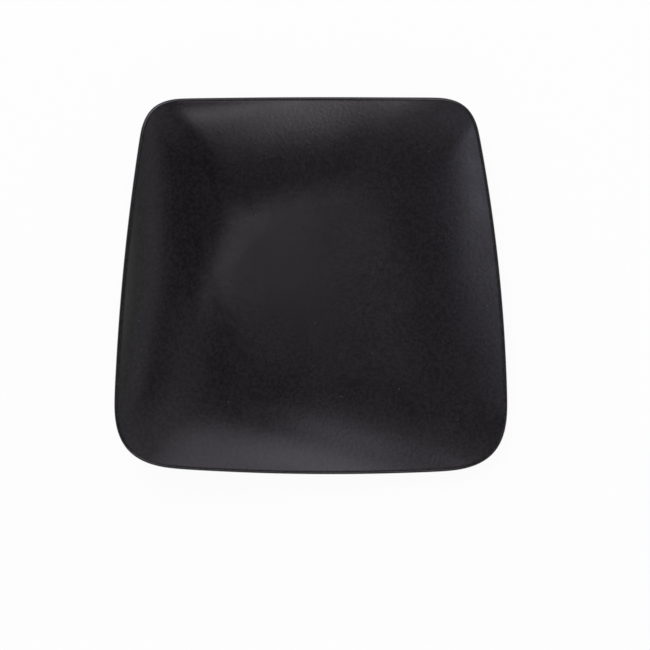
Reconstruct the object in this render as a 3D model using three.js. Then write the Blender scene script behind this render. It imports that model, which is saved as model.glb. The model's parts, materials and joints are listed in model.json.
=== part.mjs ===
// A stoneware plate: a rounded trapezoid with a round well, swept up along its left side, on a low foot ring.
// Millimetres, +Z up. +X is the low right side, +Y the narrow back edge, and the foot ring stands on Z = 0.
import * as THREE from 'three';

// Overall size, over the lip
const PLATE_WIDTH = 270;
const PLATE_DEPTH = 260.5;

// Outline: four sharp corners, edges that bow outwards between them, and a blend round each corner
const BACK_WIDTH = 224; // between the two sharp back corners
const BACK_SHIFT = -1.2; // of the back edge along X, from the middle of the front edge
const FRONT_SLANT = 3.8; // how far the front left corner lies behind the front right one
const BACK_SLANT = 2.2; // how far the back left corner lies in front of the back right one
const FRONT_BOW = 6.4;
const RIGHT_BOW = 7.5;
const BACK_BOW = 1.6;
const LEFT_BOW = 4.9;
const FRONT_CORNER = 45; // length of each edge that the blend of a front corner takes up
const BACK_CORNER = 26.5;
const CORNER_FULLNESS = 0.73; // how far a blend reaches out towards its sharp corner, from 0 to 1

// Rim: the height of its crest above the table
const RIM_LOW = 13.4; // at the right side
const RIM_HIGH = 40.2; // at the left side
const RIM_SWEEP = 2.2; // power of the curve between the two
const CORNER_LIFT = 4.7; // extra height of the back right corner
const LIFT_REACH = 39; // distance along X over which that extra height fades
const LIP_THICKNESS = 3.6; // the lip is a full round

// Well and flank
const WELL_X = -2;
const WELL_Y = -7;
const WELL_RADIUS = 70;
const WELL_DISH = 1.6; // how much lower the middle of the well is than its edge
const WELL_BLEND = 8; // how far the rounding of the well's edge reaches to each side
const FLOOR_THICKNESS = 4.6; // under the edge of the well
const FLANK_SPRING = 0.42; // slope of the flank where it leaves the well, as a part of its mean slope
const LEFT_STEEPNESS = 1.8; // slope of the flank where it meets the lip, likewise, on the left,
const RIGHT_STEEPNESS = 1.4; // on the right,
const ENDS_STEEPNESS = 2; // and at the front and the back

// Foot ring and underside
const FOOT_HEIGHT = 1.6;
const FOOT_RADIUS = 54.5; // outer edge of the face that stands on the table
const FOOT_WIDTH = 4; // of that face
const FOOT_DRAFT = 1; // how much further the ring's walls spread at their root, on each side
const UNDERSIDE_SWEEP = 2.2; // power of the underside's curve from foot to lip

const GLAZE_THICKNESS = 0.4;

// Facets
const EDGE_STEPS = 9;
const CORNER_STEPS = 7;
const FLANK_STEPS = 8;
const LIP_TOP_STEPS = 4;
const LIP_BOTTOM_STEPS = 3;
const WELL_RINGS = [0.15, 0.45, 0.75, 0.885, 0.945, 1]; // parts of the well's radius

const LIP_RADIUS = LIP_THICKNESS / 2;
const WELL_EDGE_HEIGHT = FOOT_HEIGHT + FLOOR_THICKNESS;
const FOOT_INNER_RADIUS = FOOT_RADIUS - FOOT_WIDTH;
const FOOT_ROOT_RADIUS = FOOT_RADIUS + FOOT_DRAFT;
const RECESS_RADIUS = FOOT_INNER_RADIUS - FOOT_DRAFT;
const wellCentre = new THREE.Vector2(WELL_X, WELL_Y);

// Steps from 0 to 1 that are close together at both ends, where the surface turns sharply.
function easedSteps(count) {
  return Array.from({ length: count }, (_, k) => (1 - Math.cos((Math.PI * (k + 1)) / count)) / 2);
}

// Outline

// An edge is a parabola that stands out by its bow from the straight line between two sharp corners.
function bowedEdge(from, to, bow) {
  const along = to.clone().sub(from);
  const outward = new THREE.Vector2(along.y, -along.x).normalize();
  const middle = from.clone().lerp(to, 0.5).addScaledVector(outward, 2 * bow);
  return new THREE.QuadraticBezierCurve(from, middle, to);
}

// The stretch of an edge that is left between the corner blends at its two ends.
function trimmedEdge(edge, startCut, endCut) {
  const length = edge.v0.distanceTo(edge.v2);
  const start = startCut / length;
  const end = 1 - endCut / length;
  const control = (u, v) => edge.v0.clone().lerp(edge.v1, u).lerp(edge.v1.clone().lerp(edge.v2, u), v);
  return new THREE.QuadraticBezierCurve(control(start, start), control(start, end), control(end, end));
}

// A corner leaves one edge and joins the next along their tangents.
function cornerBlend(edge, nextEdge, cut) {
  const reach = CORNER_FULLNESS * cut;
  const leaving = edge.v2.clone().addScaledVector(edge.getTangent(1), reach);
  const joining = nextEdge.v0.clone().addScaledVector(nextEdge.getTangent(0), -reach);
  return new THREE.CubicBezierCurve(edge.v2, leaving, joining, nextEdge.v0);
}

// Edges and corners in turn, anticlockwise from the front edge, for sharp corners that lie this far out.
function outlineCurves(halfWidth, halfDepth) {
  const front = FRONT_BOW - halfDepth;
  const back = halfDepth - BACK_BOW;
  const halfBack = BACK_WIDTH / 2;
  const sharp = [
    { at: new THREE.Vector2(-halfWidth, front + FRONT_SLANT), cut: FRONT_CORNER, bow: FRONT_BOW },
    { at: new THREE.Vector2(halfWidth, front), cut: FRONT_CORNER, bow: RIGHT_BOW },
    { at: new THREE.Vector2(BACK_SHIFT + halfBack, back), cut: BACK_CORNER, bow: BACK_BOW },
    { at: new THREE.Vector2(BACK_SHIFT - halfBack, back - BACK_SLANT), cut: BACK_CORNER, bow: LEFT_BOW },
  ];
  const following = (list, k) => list[(k + 1) % list.length];
  const edges = sharp.map((corner, k) => {
    const next = following(sharp, k);
    return trimmedEdge(bowedEdge(corner.at, next.at, corner.bow), corner.cut, next.cut);
  });
  return edges.flatMap((edge, k) => [edge, cornerBlend(edge, following(edges, k), following(sharp, k).cut)]);
}

// Points round the outline, each with the direction along it and the direction straight out of it.
function outlineStations(halfWidth, halfDepth) {
  return outlineCurves(halfWidth, halfDepth).flatMap((curve, k) => {
    const steps = k % 2 === 0 ? EDGE_STEPS : CORNER_STEPS;
    return Array.from({ length: steps }, (_, step) => {
      const point = curve.getPoint(step / steps);
      const tangent = curve.getTangent(step / steps);
      return { point, tangent, normal: new THREE.Vector2(tangent.y, -tangent.x) };
    });
  });
}

// The sharp corners move out until the blended outline is as wide and as deep as the plate, and is centred.
function plateStations() {
  const half = new THREE.Vector2(PLATE_WIDTH / 2, PLATE_DEPTH / 2);
  const wanted = half.clone().multiplyScalar(2);
  const measure = (stations) => new THREE.Box2().setFromPoints(stations.map((station) => station.point));
  for (let pass = 0; pass < 12; pass += 1) {
    const size = measure(outlineStations(half.x, half.y)).getSize(new THREE.Vector2());
    half.addScaledVector(wanted.clone().sub(size), 0.5);
  }
  const stations = outlineStations(half.x, half.y);
  const centre = measure(stations).getCenter(new THREE.Vector2());
  stations.forEach((station) => station.point.sub(centre));
  return stations;
}

// Rim

// Height of the crest over a point of the outline: it sweeps up from right to left, and lifts at one corner.
function crestHeight(point) {
  const acrossToLeft = THREE.MathUtils.clamp(0.5 - point.x / PLATE_WIDTH, 0, 1);
  const towardsBack = THREE.MathUtils.clamp(0.5 + point.y / PLATE_DEPTH, 0, 1);
  const fromCorner = (point.x - BACK_WIDTH / 2 - BACK_SHIFT) / LIFT_REACH;
  const lift = CORNER_LIFT * towardsBack * Math.exp(-fromCorner * fromCorner);
  return RIM_LOW + (RIM_HIGH - RIM_LOW) * acrossToLeft ** RIM_SWEEP + lift;
}

// The round of the lip stands in the upright plane that is square to the outline.
function lipPoint(station, angle) {
  const out = LIP_RADIUS * (Math.cos(angle) - 1);
  const plan = station.point.clone().addScaledVector(station.normal, out);
  const height = crestHeight(station.point) + LIP_RADIUS * (Math.sin(angle) - 1);
  return new THREE.Vector3(plan.x, plan.y, height);
}

// Where a flank runs into the lip without a kink. The flank starts at a radius and height by the well or the
// foot, and ends this many times as steep as its mean slope.
function flankEnd(station, square, startRadius, startHeight, steepness) {
  const ahead = station.point.clone().add(station.tangent);
  const behind = station.point.clone().sub(station.tangent);
  const climbAlongRim = (crestHeight(ahead) - crestHeight(behind)) / 2;
  let angle = square;
  for (let pass = 0; pass < 8; pass += 1) {
    const end = lipPoint(station, angle);
    const ray = new THREE.Vector2(end.x, end.y).sub(wellCentre);
    const slope = (steepness * (end.z - startHeight)) / (ray.length() - startRadius);
    ray.normalize();
    const slopeOutwards = (slope - ray.dot(station.tangent) * climbAlongRim) / ray.dot(station.normal);
    angle = square + Math.atan(slopeOutwards);
  }
  return { angle, point: lipPoint(station, angle) };
}

// Sections, one for each station, as lists of points

function ringPoint(towards, radius, height) {
  const plan = new THREE.Vector2(towards.x, towards.y).sub(wellCentre).setLength(radius).add(wellCentre);
  return new THREE.Vector3(plan.x, plan.y, height);
}

// From a start by the well or the foot straight out to the lip. The height follows a curve from 0 to 1.
function flankPoints(start, end, curve) {
  return easedSteps(FLANK_STEPS).map((step) => {
    const point = start.clone().lerp(end, step);
    return point.setZ(THREE.MathUtils.lerp(start.z, end.z, curve(step)));
  });
}

function lipPoints(station, fromAngle, toAngle, steps) {
  return Array.from({ length: steps }, (_, k) => {
    return lipPoint(station, THREE.MathUtils.lerp(fromAngle, toAngle, (k + 1) / steps));
  });
}

// A curve from 0 to 1 with the given slopes at its start and its end.
function easedCurve(startSlope, endSlope) {
  const cubic = startSlope + endSlope - 2;
  return (step) => step * (startSlope + step * (1 - startSlope - cubic + step * cubic));
}

// Rounds the edge of the well, where the slope turns by this much, with a parabola.
function roundWellEdge(point, turn) {
  const away = Math.abs(wellCentre.distanceTo(new THREE.Vector2(point.x, point.y)) - WELL_RADIUS);
  const inside = Math.max(0, WELL_BLEND - away);
  return point.setZ(point.z + (turn * inside * inside) / (4 * WELL_BLEND));
}

// The eating face: well, flank, and the lip out to its widest line.
function faceSection(station) {
  const across = station.point.clone().sub(wellCentre).normalize().x;
  const sideSteepness = across < 0 ? LEFT_STEEPNESS : RIGHT_STEEPNESS;
  const steepness = THREE.MathUtils.lerp(ENDS_STEEPNESS, sideSteepness, across * across);
  const end = flankEnd(station, Math.PI / 2, WELL_RADIUS, WELL_EDGE_HEIGHT, steepness);
  const well = WELL_RINGS.map((part) => {
    const height = WELL_EDGE_HEIGHT - WELL_DISH * (1 - part * part);
    return ringPoint(end.point, WELL_RADIUS * part, height);
  });
  const edge = well.at(-1);
  const flank = flankPoints(edge, end.point, easedCurve(FLANK_SPRING, steepness));
  const flankLength = Math.hypot(end.point.x - edge.x, end.point.y - edge.y);
  const turn = (FLANK_SPRING * (end.point.z - edge.z)) / flankLength - (2 * WELL_DISH) / WELL_RADIUS;
  const inner = [...well, ...flank].map((point) => roundWellEdge(point, turn));
  return [...inner, ...lipPoints(station, end.angle, 0, LIP_TOP_STEPS)];
}

// The underside, from the lip's widest line in to the root of the foot ring. Its curve springs from the inner
// edge of the ring, so that it comes out from behind the ring almost level.
function underSection(station) {
  const end = flankEnd(station, -Math.PI / 2, FOOT_INNER_RADIUS, FOOT_HEIGHT, UNDERSIDE_SWEEP);
  const lipDistance = wellCentre.distanceTo(new THREE.Vector2(end.point.x, end.point.y));
  const hidden = (FOOT_ROOT_RADIUS - FOOT_INNER_RADIUS) / (lipDistance - FOOT_INNER_RADIUS);
  const sweep = (part) => part ** UNDERSIDE_SWEEP;
  const root = ringPoint(end.point, FOOT_ROOT_RADIUS, 0);
  root.setZ(THREE.MathUtils.lerp(FOOT_HEIGHT, end.point.z, sweep(hidden)));
  const curve = (step) => {
    return (sweep(THREE.MathUtils.lerp(hidden, 1, step)) - sweep(hidden)) / (1 - sweep(hidden));
  };
  const flank = [root, ...flankPoints(root, end.point, curve)];
  const lip = lipPoints(station, 0, end.angle, LIP_BOTTOM_STEPS);
  return [lipPoint(station, 0), ...lip, ...flank.reverse().slice(1)];
}

// The bare ring: the table face's two edges, then the root of its inner wall.
function footSection(root) {
  return [
    ringPoint(root, FOOT_RADIUS, 0),
    ringPoint(root, FOOT_INNER_RADIUS, 0),
    ringPoint(root, RECESS_RADIUS, FOOT_HEIGHT),
  ];
}

// Rings and lofts. A ring holds one point for each station, or a single point in the middle.

const stations = plateStations();
const ringsOf = (sections) => sections[0].map((_, k) => sections.map((section) => section[k]));
const middlePoint = (height) => [new THREE.Vector3(WELL_X, WELL_Y, height)];

// Joins each ring to the next, and the last to the first where the surface closes on itself. Each four-sided
// patch is split along its shorter diagonal, so that glaze and clay split their common surface alike.
function loft(rings, closesOnItself = false) {
  const points = rings.flat();
  const firsts = rings.map((_, k) => rings.slice(0, k).flat().length);
  const corner = (k, step) => firsts[k] + (step % rings[k].length);
  const index = [];
  for (let k = 0; k < (closesOnItself ? rings.length : rings.length - 1); k += 1) {
    const next = (k + 1) % rings.length;
    for (let step = 0; step < stations.length; step += 1) {
      const [a, b] = [corner(k, step), corner(k, step + 1)];
      const [c, d] = [corner(next, step), corner(next, step + 1)];
      const forward = points[a].distanceTo(points[d]) < points[b].distanceTo(points[c]);
      if (a === b) index.push(a, c, d);
      else if (c === d) index.push(a, c, b);
      else if (forward) index.push(a, c, d, a, d, b);
      else index.push(a, c, b, b, c, d);
    }
  }
  const geometry = new THREE.BufferGeometry().setFromPoints(points);
  geometry.setIndex(index);
  geometry.computeVertexNormals();
  return geometry;
}

// The same rings, moved in from the surface that they make by the thickness of the glaze.
function underGlaze(rings) {
  const normals = loft(rings).getAttribute('normal');
  let vertex = -1;
  return rings.map((ring) => ring.map((point) => {
    vertex += 1;
    const normal = new THREE.Vector3().fromBufferAttribute(normals, vertex);
    return point.clone().addScaledVector(normal, -GLAZE_THICKNESS);
  }));
}

// Surfaces of the glazed plate, and of the clay under the glaze

const face = [middlePoint(WELL_EDGE_HEIGHT - WELL_DISH), ...ringsOf(stations.map(faceSection))];
const under = ringsOf(stations.map(underSection));
const footRoot = under.at(-1);
const foot = ringsOf(footRoot.map(footSection));
const recess = [foot.at(-1), middlePoint(FOOT_HEIGHT)];

const clayUpper = underGlaze([...face, ...under.slice(1)]);
const clayFace = clayUpper.slice(0, face.length);
const clayUnder = clayUpper.slice(face.length - 1);
const clayRecess = underGlaze(recess);

// Pieces

function piece(name, geometry, color, roughness) {
  const mesh = new THREE.Mesh(geometry, new THREE.MeshStandardMaterial({ color, roughness, metalness: 0 }));
  mesh.name = name;
  return mesh;
}

const BARE_CLAY = 0x8a8078;
const BLACK_GLAZE = 0x1d1b1b;

const clayRings = [...clayFace, ...clayUnder.slice(1), footRoot, ...foot, ...clayRecess];

const plate = new THREE.Group();
plate.add(
  piece('stoneware_body', loft(clayRings), BARE_CLAY, 0.9),
  piece('face_glaze', loft([...face, ...clayFace.toReversed()]), BLACK_GLAZE, 0.42),
  piece('underside_glaze', loft([...under, ...clayUnder.toReversed()], true), BLACK_GLAZE, 0.4),
  piece('recess_glaze', loft([...clayRecess.toReversed(), ...recess]), BLACK_GLAZE, 0.4),
);

export default plate;
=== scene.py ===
# %% [markdown]
# # A black stoneware plate with a raised side
#
# This lesson dresses a plate for a product picture. Its solids come from a CAD model: one body of fired
# clay, and three thin coats of black glaze on it. Their shape is right, but they are made of flat facets in
# plain colours. We turn the facets into smooth skins, give the glaze its fine grain and the foot ring its
# bare clay, and light the plate as a photographer would.
#
# Everything is in metres and in the CAD model's own frame. The plate stands on z = 0. Its wide edge is in
# front, at -Y, and its high side is on the left, at -X.

# %% Load the solids
import json
import math

import bmesh
import bpy
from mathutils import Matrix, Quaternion, Vector, noise
from mathutils.bvhtree import BVHTree

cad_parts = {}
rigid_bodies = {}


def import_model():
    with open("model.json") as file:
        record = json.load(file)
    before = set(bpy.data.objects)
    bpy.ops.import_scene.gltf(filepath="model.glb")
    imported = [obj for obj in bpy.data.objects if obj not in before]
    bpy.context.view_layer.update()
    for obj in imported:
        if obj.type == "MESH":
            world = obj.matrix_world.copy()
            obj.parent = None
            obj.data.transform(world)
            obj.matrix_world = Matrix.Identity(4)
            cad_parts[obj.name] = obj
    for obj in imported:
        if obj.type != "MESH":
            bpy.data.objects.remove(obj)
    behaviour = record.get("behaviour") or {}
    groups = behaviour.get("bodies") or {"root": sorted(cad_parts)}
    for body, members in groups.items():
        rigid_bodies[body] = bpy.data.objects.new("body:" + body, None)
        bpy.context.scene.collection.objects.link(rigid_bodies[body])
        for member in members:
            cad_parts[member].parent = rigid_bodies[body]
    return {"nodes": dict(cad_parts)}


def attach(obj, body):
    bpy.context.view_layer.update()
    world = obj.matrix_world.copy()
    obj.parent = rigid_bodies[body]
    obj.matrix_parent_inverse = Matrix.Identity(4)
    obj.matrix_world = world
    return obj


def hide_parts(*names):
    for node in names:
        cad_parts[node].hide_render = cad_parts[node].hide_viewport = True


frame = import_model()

MM = 0.001
scene = bpy.context.scene
scene.view_settings.view_transform = "Standard"
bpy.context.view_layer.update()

# %% [markdown]
# ## Camera
#
# The picture looks straight down. A camera in Blender looks along its own -Z with +Y upwards in the frame,
# so without any turn it already looks down on the plate. We could frame the plate with an orthographic
# camera, but a real lens shows the high left side a little larger than the low right one. A long lens two
# metres up gives that faint perspective. It stands in front of the plate's middle, which leaves the empty
# strip at the foot of the picture.

# %% Camera straight above
PICTURE_SIDE = 650  # pixels, the picture is square
FOCAL_LENGTH = 2873  # in the same pixels
CAMERA_PLACE = (8.8 * MM, -27.2 * MM, 2.0)

camera_data = bpy.data.cameras.new("overhead_camera")
camera_data.lens = camera_data.sensor_width * FOCAL_LENGTH / PICTURE_SIDE
camera = bpy.data.objects.new("overhead_camera", camera_data)
camera.location = CAMERA_PLACE
scene.collection.objects.link(camera)
scene.camera = camera
print(f"The lens is {camera_data.lens:.0f} mm long on a sensor {camera_data.sensor_width:.0f} mm wide")

# %% [markdown]
# ## Node helpers
#
# Materials, node groups, lamps and the world are all trees of nodes. These helpers keep the later cells
# short. The first one empties a tree, and the second adds one node to it, sets its options, and fills its
# inputs, either with a value or with a wire from another node's output. The last two cover what is needed
# most: a calculation with two values, and a mix of two shaders.


# %% Start a tree of nodes and add to it
def empty_tree(owner):
    owner.use_nodes = True
    owner.node_tree.nodes.clear()
    return owner.node_tree


def add_node(tree, kind, inputs=(), **options):
    node = tree.nodes.new(kind)
    for option, value in options.items():
        setattr(node, option, value)
    for socket, value in dict(inputs).items():
        if isinstance(value, bpy.types.NodeSocket):
            tree.links.new(value, node.inputs[socket])
        else:
            node.inputs[socket].default_value = value
    return node


def reckon(tree, operation, first, second):
    return add_node(tree, "ShaderNodeMath", {0: first, 1: second}, operation=operation).outputs["Value"]


def mix_shaders(tree, share, first, second):
    return add_node(tree, "ShaderNodeMixShader", {0: share, 1: first, 2: second}).outputs["Shader"]


# %% [markdown]
# ## The room
#
# A black glaze is a dark mirror: what we see of it is mostly the room. A sky of one even grey would fog the
# whole plate. So the room is white where it meets the floor, its walls are grey with a trace of violet, and
# they fade into a dark ceiling. A colour ramp does that, read by the height of each direction above the
# horizon. Seen from the side, the plate mirrors the low, white part at a flat angle and turns silvery, as
# glazed plates do. The camera itself sees plain white behind the plate, which the Light Path node tells
# apart.

# %% World with pale walls and a dark ceiling
WHITE = (1.0, 1.0, 1.0, 1.0)
# height of a direction, as its z, and the room's colour there
ROOM_TONES = (
    (0.0, WHITE),
    (0.14, (0.50, 0.50, 0.50, 1.0)),
    (0.33, (0.575, 0.548, 0.605, 1.0)),
    (0.60, (0.132, 0.125, 0.140, 1.0)),
)

room = bpy.data.worlds.new("studio_room")
tree = empty_tree(room)
direction = add_node(tree, "ShaderNodeTexCoord")
height = add_node(tree, "ShaderNodeSeparateXYZ", {"Vector": direction.outputs["Generated"]})
walls = add_node(tree, "ShaderNodeValToRGB", {"Fac": height.outputs["Z"]})
walls.color_ramp.interpolation = "EASE"
while len(walls.color_ramp.elements) < len(ROOM_TONES):
    walls.color_ramp.elements.new(1.0)
for stop, (level, colour) in zip(walls.color_ramp.elements, ROOM_TONES):
    stop.position, stop.color = level, colour
ray = add_node(tree, "ShaderNodeLightPath")
light_of_room = add_node(tree, "ShaderNodeBackground", {"Color": walls.outputs["Color"]})
plain_white = add_node(tree, "ShaderNodeBackground", {"Color": WHITE})
seen = mix_shaders(tree, ray.outputs["Is Camera Ray"], light_of_room.outputs["Background"],
                   plain_white.outputs["Background"])
add_node(tree, "ShaderNodeOutputWorld", {"Surface": seen})
scene.world = room
print("Room: colour", ", ".join(f"{colour[:3]} at z = {level}" for level, colour in ROOM_TONES))

# %% [markdown]
# ## Lamps
#
# Each bright band on the plate is the mirror image of a lamp. From straight above, a slope of 15 degrees
# mirrors what stands 30 degrees off the zenith, in the direction that the slope faces. The front flank
# faces the back, so the two softboxes behind the plate draw the band along the front edge, and a strip
# there carries it on to the right. The softbox and the strip in front draw the band along the back edge,
# and a small lamp on the left draws the one on the right. The rounded corners mirror what stands between
# these, and weak fills keep them from going black. Two weak lamps on the left, nearly overhead, are
# mirrored by the gentle slopes to the right of the well. A long strip high up, a little off the camera's
# line of sight, lifts the well out of the dark, and one on the right shows the soft edge of the well on the
# left. One dome of even light would be simpler, but it would wash all of this away.
#
# A lamp's brightness is given here as radiance, because that is what a mirror shows. An area lamp sends out
# its power evenly, so the power is radiance times pi times area. A real softbox is brightest in the middle
# of its cloth, and this one too: across the cloth and up it, the strength falls off as a parabola. So its
# mirror image has no hard edge.

# %% Softboxes round the plate
FULL_MIDDLE = 16.0  # brings the product of the two parabolas to 1 in the middle of the cloth


def softbox(name, azimuth, zenith, lean, distance, width, height, radiance, colour):
    lamp = bpy.data.lights.new(name, "AREA")
    lamp.shape = "RECTANGLE"
    lamp.size, lamp.size_y = width, height
    lamp.energy = radiance * math.pi * width * height
    lamp.color = colour
    tree = empty_tree(lamp)
    spot = add_node(tree, "ShaderNodeNewGeometry").outputs["Parametric"]
    rest = add_node(tree, "ShaderNodeVectorMath", {0: (1.0, 1.0, 1.0), 1: spot}, operation="SUBTRACT")
    bows = add_node(tree, "ShaderNodeVectorMath", {0: spot, 1: rest.outputs["Vector"]}, operation="MULTIPLY")
    bow = add_node(tree, "ShaderNodeSeparateXYZ", {"Vector": bows.outputs["Vector"]})
    both = reckon(tree, "MULTIPLY", bow.outputs["X"], bow.outputs["Y"])
    glow = add_node(tree, "ShaderNodeEmission", {"Strength": reckon(tree, "MULTIPLY", both, FULL_MIDDLE)})
    add_node(tree, "ShaderNodeOutputLight", {"Surface": glow.outputs["Emission"]})
    stand = bpy.data.objects.new(name, lamp)
    turn, tilt = math.radians(azimuth), math.radians(zenith)
    away = Vector((math.sin(tilt) * math.cos(turn), math.sin(tilt) * math.sin(turn), math.cos(tilt)))
    stand.location = away * distance
    facing = away.to_track_quat("Z", "Y") @ Quaternion((0.0, 0.0, 1.0), math.radians(lean))
    stand.rotation_euler = facing.to_euler()
    scene.collection.objects.link(stand)
    print(f"{name}: {lamp.energy:.1f} W from {zenith} degrees off the zenith")


# azimuth from +X, angle off the zenith, lean in its own plane; distance, width, height; radiance and colour
softbox("back_softbox", 89, 52.0, -2, 3.0, 3.80, 3.12, 1.38, (0.94, 0.89, 1.00))
softbox("front_softbox", 249, 55.0, 34, 3.0, 5.98, 0.60, 3.82, (0.98, 0.93, 1.00))
softbox("left_lamp", 189, 19.8, 1, 3.0, 0.40, 0.40, 4.20, (0.84, 0.82, 1.00))
softbox("well_lamp", 332, 6.3, -73, 12.0, 4.00, 0.25, 10.60, (0.97, 0.89, 0.99))
softbox("right_back_fill", 34, 45.7, -18, 3.0, 3.00, 3.00, 0.50, (1.00, 0.96, 1.00))
softbox("back_left_softbox", 117, 43.3, -36, 3.0, 3.37, 3.51, 3.07, (0.93, 0.89, 1.00))
softbox("front_strip", 277, 29.6, -71, 3.0, 1.64, 0.50, 5.06, (0.98, 0.93, 1.00))
softbox("right_front_fill", 329, 59.6, 45, 3.0, 2.26, 3.00, 0.50, (1.00, 0.96, 1.00))
softbox("left_strip", 227, 14.8, 17, 3.0, 1.48, 0.40, 1.11, (0.90, 0.88, 1.00))
softbox("corner_lamp", 130, 11.0, 26, 3.0, 0.70, 0.35, 0.65, (0.95, 0.90, 1.00))
softbox("right_strip", 0, 18.0, 0, 12.0, 1.20, 3.60, 1.15, (0.94, 0.87, 1.00))
softbox("back_strip", 97, 24.2, 0, 12.0, 1.20, 3.60, 4.20, (0.96, 0.90, 1.00))

# %% [markdown]
# ## Floor
#
# The picture has a plain white ground. Lighting a white floor until it clips would also flood the plate.
# Instead the camera, and every mirror ray, sees the floor mostly as an even white, and the rest of what it
# sees is ordinary diffuse paint. That rest keeps the plate's soft shadow, so the plate stands on something.
# From below the floor is clear, so that the foot of the plate can be looked at too. It lies a tenth of a
# millimetre under the foot ring, because two faces in one plane would flicker.

# %% White floor that keeps a soft shadow
FLOOR_HALF = 12.0
FLOOR_LEVEL = -0.1 * MM
FLOOR_CORNERS = ((-1, -1), (1, -1), (1, 1), (-1, 1))
FLOOR_COLOUR = (0.90, 0.90, 0.90, 1.0)
FLOOR_EVENNESS = 0.94  # share of the even white in what a camera or mirror ray sees

floor_points = [(x * FLOOR_HALF, y * FLOOR_HALF, FLOOR_LEVEL) for x, y in FLOOR_CORNERS]
floor_mesh = bpy.data.meshes.new("studio_floor")
floor_mesh.from_pydata(floor_points, [], [(0, 1, 2, 3)])
floor = bpy.data.objects.new("studio_floor", floor_mesh)
scene.collection.objects.link(floor)

floor_paint = bpy.data.materials.new("white_floor")
tree = empty_tree(floor_paint)
ray = add_node(tree, "ShaderNodeLightPath")
mirrored = reckon(tree, "MAXIMUM", ray.outputs["Is Glossy Ray"], ray.outputs["Is Transmission Ray"])
seen = reckon(tree, "MAXIMUM", ray.outputs["Is Camera Ray"], mirrored)
paint = add_node(tree, "ShaderNodeBsdfDiffuse", {"Color": FLOOR_COLOUR})
even_white = add_node(tree, "ShaderNodeEmission", {"Color": WHITE, "Strength": 1.0})
upper_side = mix_shaders(tree, reckon(tree, "MULTIPLY", seen, FLOOR_EVENNESS), paint.outputs["BSDF"],
                         even_white.outputs["Emission"])
side = add_node(tree, "ShaderNodeNewGeometry")
clear = add_node(tree, "ShaderNodeBsdfTransparent")
one_sided = mix_shaders(tree, side.outputs["Backfacing"], upper_side, clear.outputs["BSDF"])
add_node(tree, "ShaderNodeOutputMaterial", {"Surface": one_sided})
floor_mesh.materials.append(floor_paint)
print(f"Floor {2 * FLOOR_HALF:.0f} m wide")

# %% [markdown]
# ## From facets to smooth skins
#
# A glazed surface shows every facet, because its highlights break at each edge. Blender rounds a mesh with
# a subdivision surface, but that wants four-sided patches, and the solids come as loose triangles. So we
# weld their corners and join the triangles in pairs. The fans of triangles round a middle point stay as
# they are.

# %% Weld a solid and join its triangles into patches
WELD = 0.02 * MM
FAN = 12  # a point with more edges than this is the middle of a fan


def patches_of(node):
    solid = bmesh.new()
    solid.from_mesh(frame["nodes"][node].data)
    bmesh.ops.remove_doubles(solid, verts=solid.verts, dist=WELD)
    middles = {point for point in solid.verts if len(point.link_edges) > FAN}
    pairs = [face for face in solid.faces if not middles.intersection(face.verts)]
    bmesh.ops.join_triangles(solid, faces=pairs, angle_face_threshold=math.pi,
                             angle_shape_threshold=math.pi, topology_influence=1.0)
    return solid


for node in frame["nodes"]:
    patches = patches_of(node)
    four_sided = sum(len(face.verts) == 4 for face in patches.faces)
    print(node, "has", four_sided, "patches of", len(patches.faces), "faces")
    patches.free()

# %% [markdown]
# A coat of glaze is a closed shell. Only its outer side is seen, so that is what we round. It is found by
# walking: from the face that points most upwards, or most downwards for the coats underneath, we step to
# each neighbour as long as no sharp edge lies between. The walk stops at the rim of the coat, where its
# thickness begins.

# %% Walk over the outer side of a coat
SHARP = math.radians(45)


def outer_side(node, facing):
    shell = patches_of(node)
    first = max(shell.faces, key=lambda face: facing * face.normal.z)
    found, waiting = {first}, [first]
    while waiting:
        face = waiting.pop()
        for edge in face.edges:
            for neighbour in edge.link_faces:
                if neighbour not in found and edge.calc_face_angle() < SHARP:
                    found.add(neighbour)
                    waiting.append(neighbour)
    faces = [[tuple(corner.co) for corner in face.verts] for face in shell.faces if face in found]
    shell.free()
    return faces


face_side = outer_side("face_glaze", 1)
under_side = outer_side("underside_glaze", -1)
recess_side = outer_side("recess_glaze", -1)
print("Outer sides:", len(face_side), "faces above,", len(under_side), "below and", len(recess_side),
      "in the recess")

# %% [markdown]
# The coats of the face and of the underside meet on the round of the lip. If each were rounded alone, a
# line would show there. So both go into one cage, and are parted again afterwards. Each face carries a
# number that says which coat it belongs to, and subdivision hands that number on.
#
# A subdivision surface also pulls in at every bend, here by up to half a millimetre. To keep the CAD size,
# we measure how far each point is pulled, push the cage out by as much, and round it once more. An edge
# that is meant to be sharp gets a full crease, which keeps it.


# %% Round a cage without losing its size
def rounded_now(holder, wanted):
    graph = bpy.context.evaluated_depsgraph_get()
    skin = bpy.data.meshes.new_from_object(holder.evaluated_get(graph))
    # the points of the cage come first among those of the skin
    off = [abs((point.co - place).dot(point.normal)) for point, place in zip(skin.vertices, wanted)]
    return skin, max(off)


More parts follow.
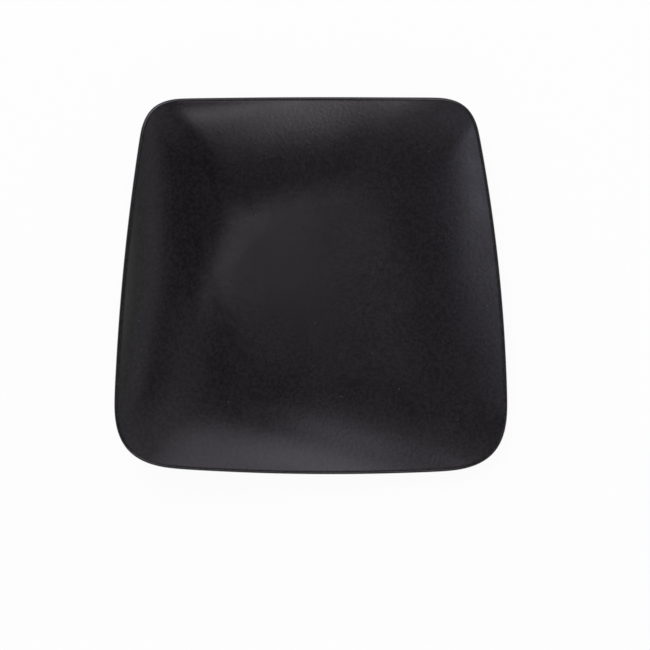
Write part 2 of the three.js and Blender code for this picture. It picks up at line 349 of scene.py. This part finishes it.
def rounded(coats, levels):
    cage = bmesh.new()
    for number, faces in enumerate(coats):
        for corners in faces:
            cage.faces.new([cage.verts.new(corner) for corner in corners]).material_index = number
    bmesh.ops.remove_doubles(cage, verts=cage.verts, dist=WELD)
    crease = cage.edges.layers.float.new("crease_edge")
    for edge in cage.edges:
        edge[crease] = float(edge.is_manifold and edge.calc_face_angle() > SHARP)
    mesh = bpy.data.meshes.new("cage")
    cage.to_mesh(mesh)
    cage.free()
    holder = bpy.data.objects.new("cage", mesh)
    scene.collection.objects.link(holder)
    for _ in coats:
        mesh.materials.append(None)
    rounding = holder.modifiers.new("rounding", "SUBSURF")
    rounding.levels = levels
    wanted = [point.co.copy() for point in mesh.vertices]
    skin, pulled = rounded_now(holder, wanted)
    for point, reached, place in zip(mesh.vertices, skin.vertices, wanted):
        point.co = 2 * place - reached.co
    mesh.update()
    skin, left = rounded_now(holder, wanted)
    print(f"Rounded to {len(skin.polygons)} faces, off by {left / MM:.3f} mm, at first {pulled / MM:.3f} mm")
    bpy.data.objects.remove(holder)
    return skin


plate_skin = rounded([face_side, under_side], levels=2)
recess_skin = rounded([recess_side], levels=3)

# %% [markdown]
# ## The hand of the maker
#
# Pressed and fired clay is never quite true. Its surface rolls by about a tenth of a millimetre, which
# nobody feels, but a highlight that runs along an edge bends with it. A displacement texture would do, and
# so would sculpting. Here each point is lifted by smooth noise, in long waves and shorter ones. The lift
# depends only on where a point lies in plan, so clay and glaze rise together, and it fades out towards the
# table so that the plate stands firm.

# %% Roll the surface gently
WAVES = ((95 * MM, 0.16 * MM), (34 * MM, 0.04 * MM))  # length and height of each
NOISE_LEVEL = 7 * MM  # the noise fills space, and is read on this one level
FIRM = (2.2 * MM, 5.0 * MM)  # heights between which the lift sets in


def ease(value, start, end):
    share = min(max((value - start) / (end - start), 0.0), 1.0)
    return share * share * (3 - 2 * share)


def lift_of(point):
    spot = Vector((point.x, point.y, NOISE_LEVEL))
    lift = sum(height * noise.noise(spot / length) for length, height in WAVES)
    return lift * ease(point.z, *FIRM)


lifts = [lift_of(point.co) for point in plate_skin.vertices]
for point, lift in zip(plate_skin.vertices, lifts):
    point.co.z += lift
plate_skin.update()
print(f"The skin rolls between {min(lifts) / MM:.2f} and {max(lifts) / MM:.2f} mm")

# %% [markdown]
# ## Glaze in the corner
#
# In the kiln the glaze is liquid, and it gathers where the flank leaves the well. So the edge of the well
# is softer than the mould made it. This could be sculpted, but a rule gives it too: on each radius, a
# smooth curve leads from the slope of the well to the slope of the flank, and glaze fills what lies below
# it. The curve is a cubic that keeps height and slope at both of its ends. Rays cast from above read these.

# %% Let glaze gather along the edge of the well
WELL_MIDDLE = Vector((-2 * MM, -7 * MM, 0.0))
WELL_RADIUS = 70 * MM
POOL_REACH = 20 * MM  # how far the glaze reaches to each side of the edge
PROBE = 3 * MM  # stretch over which a slope is read
SKY, DOWN = Vector((0.0, 0.0, 1.0)), Vector((0.0, 0.0, -1.0))

face_polygons = [tuple(face.vertices) for face in plate_skin.polygons if face.material_index == 0]
face_points = sorted({k for polygon in face_polygons for k in polygon})
land = BVHTree.FromPolygons([point.co for point in plate_skin.vertices], face_polygons)


def pool_of(point):
    out = Vector((point.x, point.y, 0.0)) - WELL_MIDDLE
    inner, outer = WELL_RADIUS - POOL_REACH, WELL_RADIUS + POOL_REACH
    if not inner < out.length < outer:
        return 0.0
    radii = (inner - PROBE, inner, outer, outer + PROBE)
    spots = [WELL_MIDDLE + out.normalized() * radius for radius in radii]
    before, low, high, beyond = [land.ray_cast(spot + SKY, DOWN)[0].z for spot in spots]
    start, end = [rise / PROBE * (outer - inner) for rise in (low - before, beyond - high)]
    climb = high - low
    t = (out.length - inner) / (outer - inner)
    curve = low + t * (start + t * (3 * climb - 2 * start - end + t * (start + end - 2 * climb)))
    return curve - point.z


pools = {k: pool_of(plate_skin.vertices[k].co) for k in face_points}
for k, rise in pools.items():
    plate_skin.vertices[k].co.z += rise
plate_skin.update()
print(f"The glaze gathers between {min(pools.values()) / MM:.2f} and {max(pools.values()) / MM:.2f} mm deep")

# %% [markdown]
# ## Glaze on clay
#
# Now each coat gets its thickness back, with what has gathered on it. A Solidify modifier would do that,
# but it would work out fresh normals for each coat, and the lip would show the seam. So we copy the coat's
# faces, lay a second layer under them, close the rim between the two, and keep the normals of the common
# skin.

# %% Make a closed coat from a part of a skin
GLAZE_THICKNESS = 0.4 * MM


def coat(name, skin, number, node, gathered=()):
    faces = [tuple(face.vertices) for face in skin.polygons if face.material_index == number]
    order = {point: k for k, point in enumerate(sorted({point for face in faces for point in face}))}
    outward = {point: skin.vertices[point].normal.copy() for point in order}
    extra = dict(gathered)
    depth = {point: GLAZE_THICKNESS + extra.get(point, 0.0) for point in order}
    above = [skin.vertices[point].co.copy() for point in order]
    below = [skin.vertices[point].co - depth[point] * outward[point] for point in order]
    sides = [(a, b) for face in faces for a, b in zip(face, face[1:] + face[:1])]
    shared = set(sides)
    rim = [(a, b) for a, b in sides if (b, a) not in shared]
    count = len(order)
    top = [[order[point] for point in face] for face in faces]
    bottom = [[order[point] + count for point in reversed(face)] for face in faces]
    wall = [[order[b], order[a], order[a] + count, order[b] + count] for a, b in rim]
    mesh = bpy.data.meshes.new(name)
    mesh.from_pydata(above + below, [], top + bottom + wall, shade_flat=False)
    normals = [outward[point] for face in faces for point in face]
    normals += [-outward[point] for face in faces for point in reversed(face)]
    normals += [face.normal.copy() for face in list(mesh.polygons)[-len(wall):] for _ in face.vertices]
    mesh.normals_split_custom_set(normals)
    piece = bpy.data.objects.new(name, mesh)
    scene.collection.objects.link(piece)
    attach(piece, "root")
    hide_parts(node)
    print(f"{name}: {len(mesh.polygons)} faces")
    return piece


face_coat = coat("face_coat", plate_skin, 0, "face_glaze", pools)
underside_coat = coat("underside_coat", plate_skin, 1, "underside_glaze")
recess_coat = coat("recess_coat", recess_skin, 0, "recess_glaze")

# %% [markdown]
# ## Clay body
#
# Under the glaze lies the clay. It shows only on the foot ring, where the glaze is wiped off so that the
# plate does not stick to the kiln shelf. The ring is ground flat, and its two edges are softened. The body
# is rounded like the coats on it, and a bevel on just those two edges does the rest.

# %% Clay body with a softened foot
FOOT_ROUNDING = 0.7 * MM
FOOT_STEPS = 4  # faces across the softened edge
ROUND_PROFILE = 0.5  # the bevel's own value for a round one
SMOOTH_BELOW = math.radians(40)  # the clay is shaded smooth over weaker bends than this

clay_patches = patches_of("stoneware_body")
clay_faces = [[tuple(corner.co) for corner in face.verts] for face in clay_patches.faces]
clay_patches.free()
clay_skin = rounded([clay_faces], levels=1)
clay = bmesh.new()
clay.from_mesh(clay_skin)
clay_low = min(point.co.z for point in clay.verts)
foot_edges = [edge for edge in clay.edges if edge.calc_face_angle() > SHARP
              and all(point.co.z < clay_low + WELD for point in edge.verts)]
bmesh.ops.bevel(clay, geom=foot_edges, offset=FOOT_ROUNDING, segments=FOOT_STEPS, profile=ROUND_PROFILE,
                affect="EDGES", clamp_overlap=True)
for point in clay.verts:
    point.co.z += lift_of(point.co)
clay_mesh = bpy.data.meshes.new("clay_body")
clay.to_mesh(clay_mesh)
clay.free()
clay_mesh.shade_smooth()
clay_mesh.set_sharp_from_angle(angle=SMOOTH_BELOW)
clay_body = bpy.data.objects.new("clay_body", clay_mesh)
scene.collection.objects.link(clay_body)
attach(clay_body, "root")
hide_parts("stoneware_body")
print(f"clay_body: {len(clay_mesh.polygons)} faces, {len(foot_edges)} softened edges")

# %% [markdown]
# ## Grain of the glaze
#
# Close up, this glaze is like fine leather: shallow dimples one or two millimetres wide. Such relief is far
# too small to model, so it goes into a bump map. The same grain lies on the face, the underside and the
# bare clay, only with other values, so it is a node group with its own inputs and outputs. Inside, one
# noise makes the dimples, and a second one of the same size mottles the colour, because the glaze is
# thinner on some spots. Neither of them has finer octaves: at this distance they would be smaller than a
# pixel and only blur the sheen. A third, much wider noise has some, and gives the cloudy sheen of a glaze
# that did not melt evenly.

# %% Node group: glaze grain
FLECK_SHIFT = 5.0  # takes the flecks from another place in the noise than the dimples
MOTTLE_SPAN = (0.34, 0.66)  # values of the noise that are stretched to 0 and 1
CLOUD_SPAN = (0.3, 0.7)
CLOUD_OCTAVES, CLOUD_FINENESS = 4.0, 0.6


def new_group(name, inputs, outputs):
    group = bpy.data.node_groups.new(name, "ShaderNodeTree")
    for title, value in inputs:
        socket = group.interface.new_socket(title, in_out="INPUT", socket_type="NodeSocketFloat")
        socket.default_value = value
    for title in outputs:
        group.interface.new_socket(title, in_out="OUTPUT", socket_type="NodeSocketFloat")
    start = group.nodes.new("NodeGroupInput")
    place = group.nodes.new("ShaderNodeTexCoord").outputs["Object"]
    return group, start.outputs, place


def stretched(group, value, span):
    ends = {"Value": value, "From Min": span[0], "From Max": span[1]}
    return add_node(group, "ShaderNodeMapRange", ends).outputs["Result"]


def sockets_of(group, way):
    return [socket.name for socket in group.interface.items_tree if socket.in_out == way]


grain, wants, place = new_group("glaze_grain", [("Dimple Size", 1.8 * MM), ("Cloud Size", 40 * MM)],
                                ["Height", "Mottle", "Cloud"])
fine = {"Vector": place, "Scale": reckon(grain, "DIVIDE", 1.0, wants["Dimple Size"]), "Detail": 0.0}
wide = {"Vector": place, "Scale": reckon(grain, "DIVIDE", 1.0, wants["Cloud Size"]), "Detail": CLOUD_OCTAVES,
        "Roughness": CLOUD_FINENESS}
dimples = add_node(grain, "ShaderNodeTexNoise", fine)
flecks = add_node(grain, "ShaderNodeTexNoise", {"W": FLECK_SHIFT, **fine}, noise_dimensions="4D")
clouds = add_node(grain, "ShaderNodeTexNoise", wide)
add_node(grain, "NodeGroupOutput", {"Height": dimples.outputs["Fac"],
                                    "Mottle": stretched(grain, flecks.outputs["Fac"], MOTTLE_SPAN),
                                    "Cloud": stretched(grain, clouds.outputs["Fac"], CLOUD_SPAN)})
print("glaze_grain puts out", sockets_of(grain, "OUTPUT"))

# %% [markdown]
# ## Specks
#
# Here and there a pale grain has come through the glaze, and bare clay holds many dark ones. A Voronoi
# texture scatters one point in each of its cells, and the distance to that point makes a dot. Each cell
# also has a colour of its own at random. Keeping only the cells whose colour is low in red thins the dots
# out.

# %% Node group: specks
specks, wants, place = new_group(
    "specks", [("Cell Size", 20 * MM), ("Speck Radius", 0.4 * MM), ("Share", 0.2)], ["Speck"])
cell_scale = reckon(specks, "DIVIDE", 1.0, wants["Cell Size"])
cells = add_node(specks, "ShaderNodeTexVoronoi", {"Vector": place, "Scale": cell_scale},
                 voronoi_dimensions="2D")
from_middle = reckon(specks, "MULTIPLY", cells.outputs["Distance"], wants["Cell Size"])
dot = stretched(specks, from_middle, (wants["Speck Radius"], 0.0))
chance = add_node(specks, "ShaderNodeSeparateColor", {"Color": cells.outputs["Color"]})
kept = reckon(specks, "LESS_THAN", chance.outputs["Red"], wants["Share"])
add_node(specks, "NodeGroupOutput", {"Speck": reckon(specks, "MULTIPLY", dot, kept)})
print("specks takes", sockets_of(specks, "INPUT"))

# %% [markdown]
# ## Black glaze
#
# The glaze itself is one Principled shader: nearly black, a little warm, and satin rather than glossy. Two
# blacks mix by the mottle, the pale specks come on top, and the roughness follows the clouds, so that the
# sheen is not quite even. The face has the full grain. The underside was dipped and not pressed on a
# textured mould, so its grain is wider, and it is duller.

# %% Material: black glaze
THICK_GLAZE = (0.0034, 0.0030, 0.0032, 1.0)
THIN_GLAZE = (0.0096, 0.0084, 0.0090, 1.0)
PALE_SPECK = (0.16, 0.15, 0.15, 1.0)
GLAZE_IOR = 1.43


def mix_colour(tree, share, first, second):
    # a Mix node has sockets for each kind of value: colours go in at 6 and 7 and come out at 2
    mixed = add_node(tree, "ShaderNodeMix", {"Factor": share, 6: first, 7: second}, data_type="RGBA")
    return mixed.outputs[2]


def grained_shader(tree, surface, colour, dimple_depth, smoothest, roughest):
    rough = add_node(tree, "ShaderNodeMapRange",
                     {"Value": surface.outputs["Cloud"], "To Min": smoothest, "To Max": roughest})
    relief = add_node(tree, "ShaderNodeBump",
                      {"Height": surface.outputs["Height"], "Distance": dimple_depth, "Strength": 1.0})
    shader = add_node(tree, "ShaderNodeBsdfPrincipled",
                      {"Base Color": colour, "Roughness": rough.outputs["Result"],
                       "Normal": relief.outputs["Normal"]})
    add_node(tree, "ShaderNodeOutputMaterial", {"Surface": shader.outputs["BSDF"]})
    return shader


def glaze(name, dimple_size, dimple_depth, smoothest, roughest, speck_share):
    material = bpy.data.materials.new(name)
    tree = empty_tree(material)
    surface = add_node(tree, "ShaderNodeGroup", {"Dimple Size": dimple_size}, node_tree=grain)
    dots = add_node(tree, "ShaderNodeGroup", {"Share": speck_share}, node_tree=specks)
    blacks = mix_colour(tree, surface.outputs["Mottle"], THICK_GLAZE, THIN_GLAZE)
    colour = mix_colour(tree, dots.outputs["Speck"], blacks, PALE_SPECK)
    shader = grained_shader(tree, surface, colour, dimple_depth, smoothest, roughest)
    shader.inputs["IOR"].default_value = GLAZE_IOR
    print(f"{name}: dimples {dimple_size / MM:.1f} mm wide, {dimple_depth / MM:.2f} mm deep")
    return material


face_glaze = glaze("face_black_glaze", dimple_size=2.3 * MM, dimple_depth=0.018 * MM,
                   smoothest=0.165, roughest=0.22, speck_share=0.12)
underside_glaze = glaze("underside_black_glaze", dimple_size=3.0 * MM, dimple_depth=0.02 * MM,
                        smoothest=0.25, roughest=0.31, speck_share=0.05)
face_coat.data.materials.append(face_glaze)
underside_coat.data.materials.append(underside_glaze)
recess_coat.data.materials.append(underside_glaze)

# %% [markdown]
# ## Bare clay
#
# The foot ring is dark buff stoneware: dull, a little uneven in tone, and full of fine iron specks. One
# plain colour would look like plastic. Grinding leaves the table face paler than the walls beside it, so
# the height above the table mixes the two.

# %% Material: bare stoneware
FIRED_CLAY = ((0.17, 0.125, 0.095, 1.0), (0.24, 0.19, 0.15, 1.0))
GROUND_CLAY = ((0.27, 0.23, 0.19, 1.0), (0.35, 0.31, 0.27, 1.0))
IRON_SPECK = (0.06, 0.045, 0.035, 1.0)
GROUND_HEIGHTS = (0.5 * MM, 0.1 * MM)  # where the paler tone starts, and where it is full

bare_clay = bpy.data.materials.new("bare_stoneware")
tree = empty_tree(bare_clay)
surface = add_node(tree, "ShaderNodeGroup", {"Dimple Size": 0.7 * MM, "Cloud Size": 9 * MM}, node_tree=grain)
dots = add_node(tree, "ShaderNodeGroup", {"Cell Size": 1.6 * MM, "Speck Radius": 0.28 * MM, "Share": 0.45},
                node_tree=specks)
place = add_node(tree, "ShaderNodeTexCoord").outputs["Object"]
above = add_node(tree, "ShaderNodeSeparateXYZ", {"Vector": place})
ground = stretched(tree, above.outputs["Z"], GROUND_HEIGHTS)
walls_tone = mix_colour(tree, surface.outputs["Cloud"], *FIRED_CLAY)
table_tone = mix_colour(tree, surface.outputs["Cloud"], *GROUND_CLAY)
clay_tone = mix_colour(tree, ground, walls_tone, table_tone)
colour = mix_colour(tree, dots.outputs["Speck"], clay_tone, IRON_SPECK)
grained_shader(tree, surface, colour, dimple_depth=0.08 * MM, smoothest=0.8, roughest=0.92)
clay_body.data.materials.append(bare_clay)
print("bare_stoneware is on", clay_body.name)
